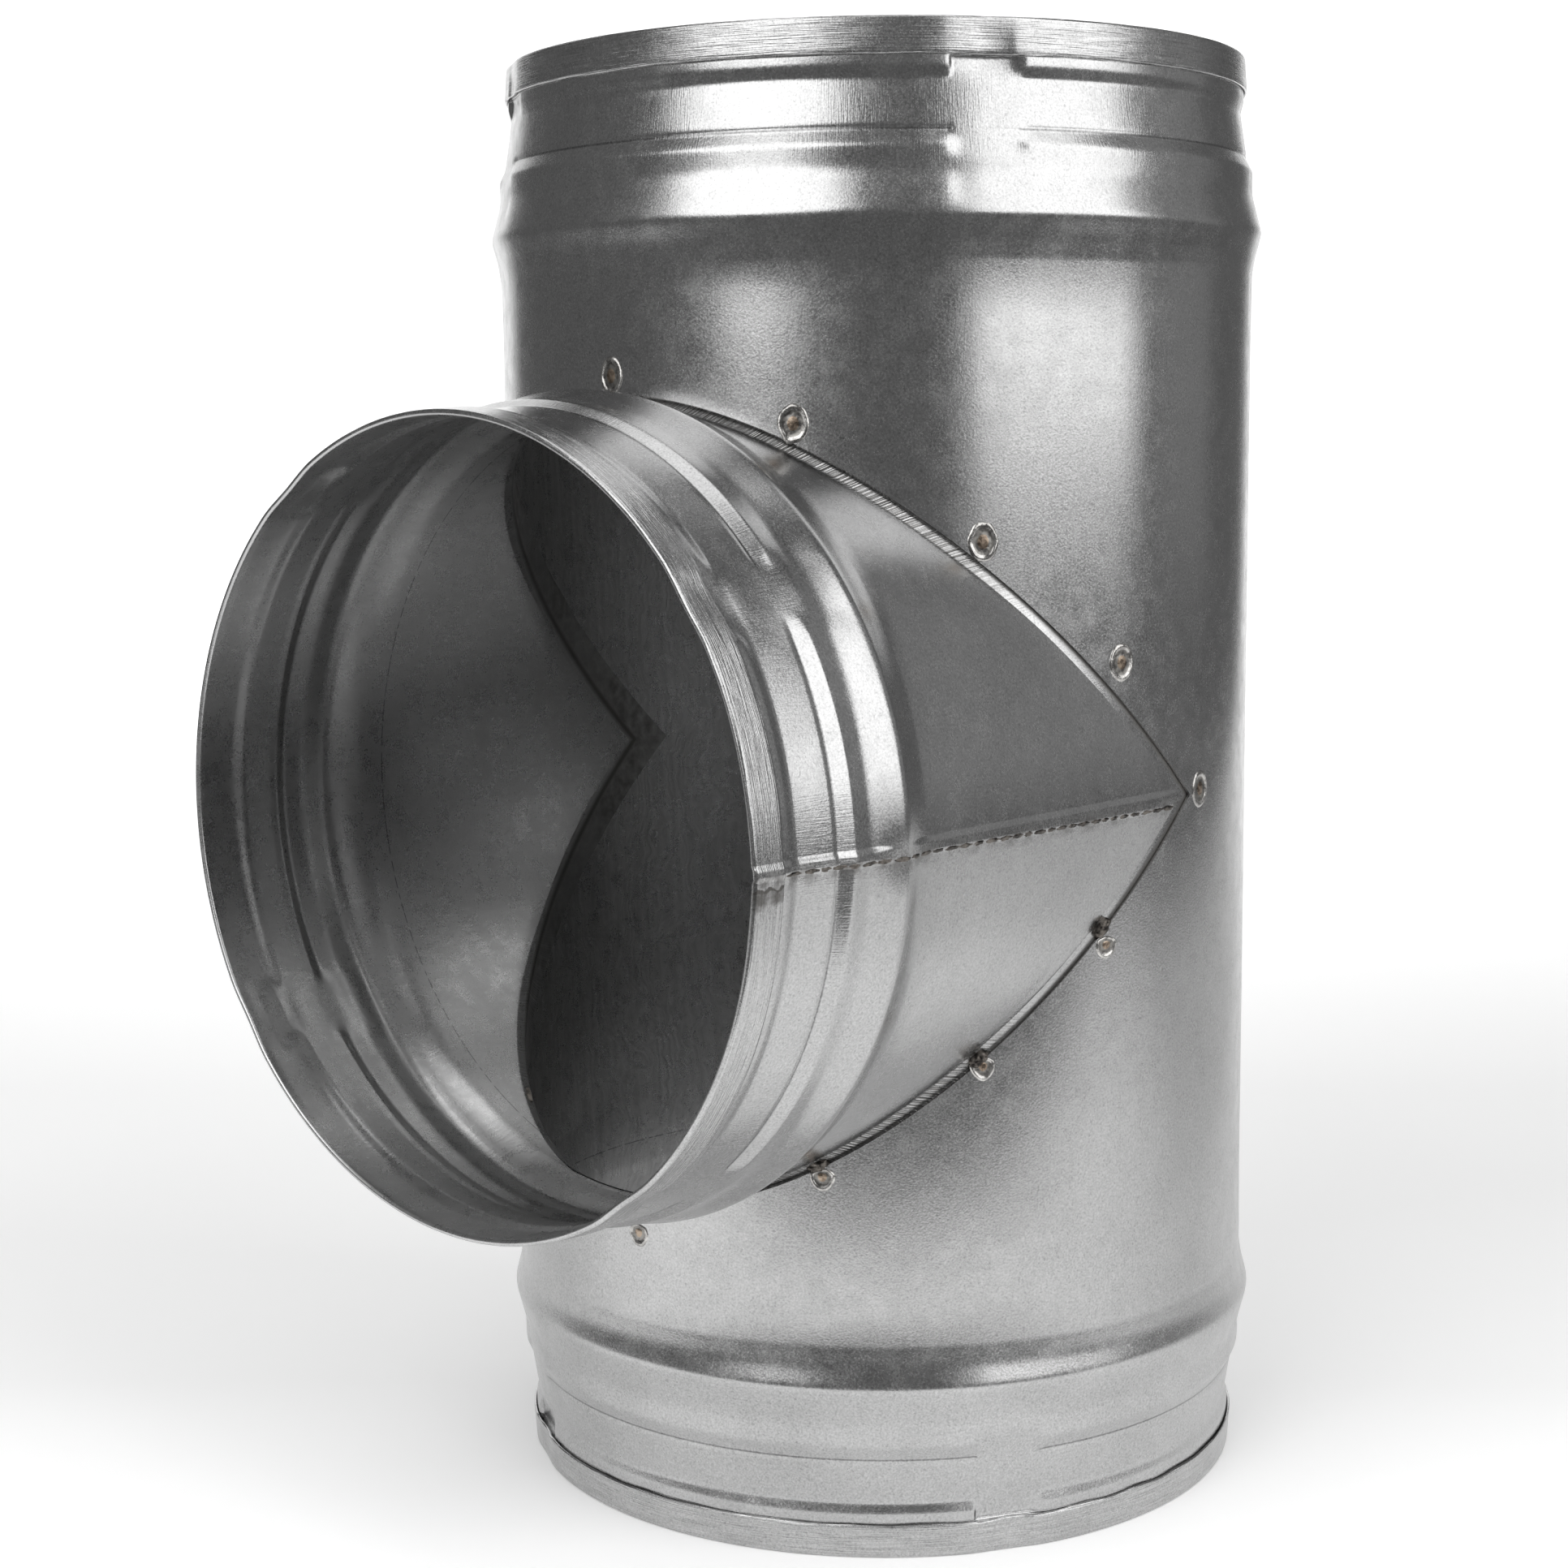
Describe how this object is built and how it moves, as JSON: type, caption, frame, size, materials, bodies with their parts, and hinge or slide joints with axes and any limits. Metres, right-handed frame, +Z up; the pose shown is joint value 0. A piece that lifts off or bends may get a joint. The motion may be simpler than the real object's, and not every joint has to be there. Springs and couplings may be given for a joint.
{
  "type": "three-way duct adapter",
  "caption": "Equal right-angle tee of galvanised sheet steel for round ventilation duct, with a hemmed, beaded spigot at each mouth and a spot-welded saddle joint.",
  "frame": {"origin": "On the axis of the straight run, in the plane of the lower rim that it stands on", "axes": "+Z up along the run, the branch points along -Y, and the branch's lap seam is on the +X side"},
  "size_m": [0.1632, 0.2062, 0.2974],
  "materials": {
    "galvanised_sheet": "Bright zinc coating with a fine grey speckle, satin sheen, drawn striations on the pressed ends and dull burnt marks at the welds"
  },
  "bodies": {
    "root": {"run_tube": "galvanised_sheet", "branch_collar": "galvanised_sheet"}
  },
  "joints": []
}
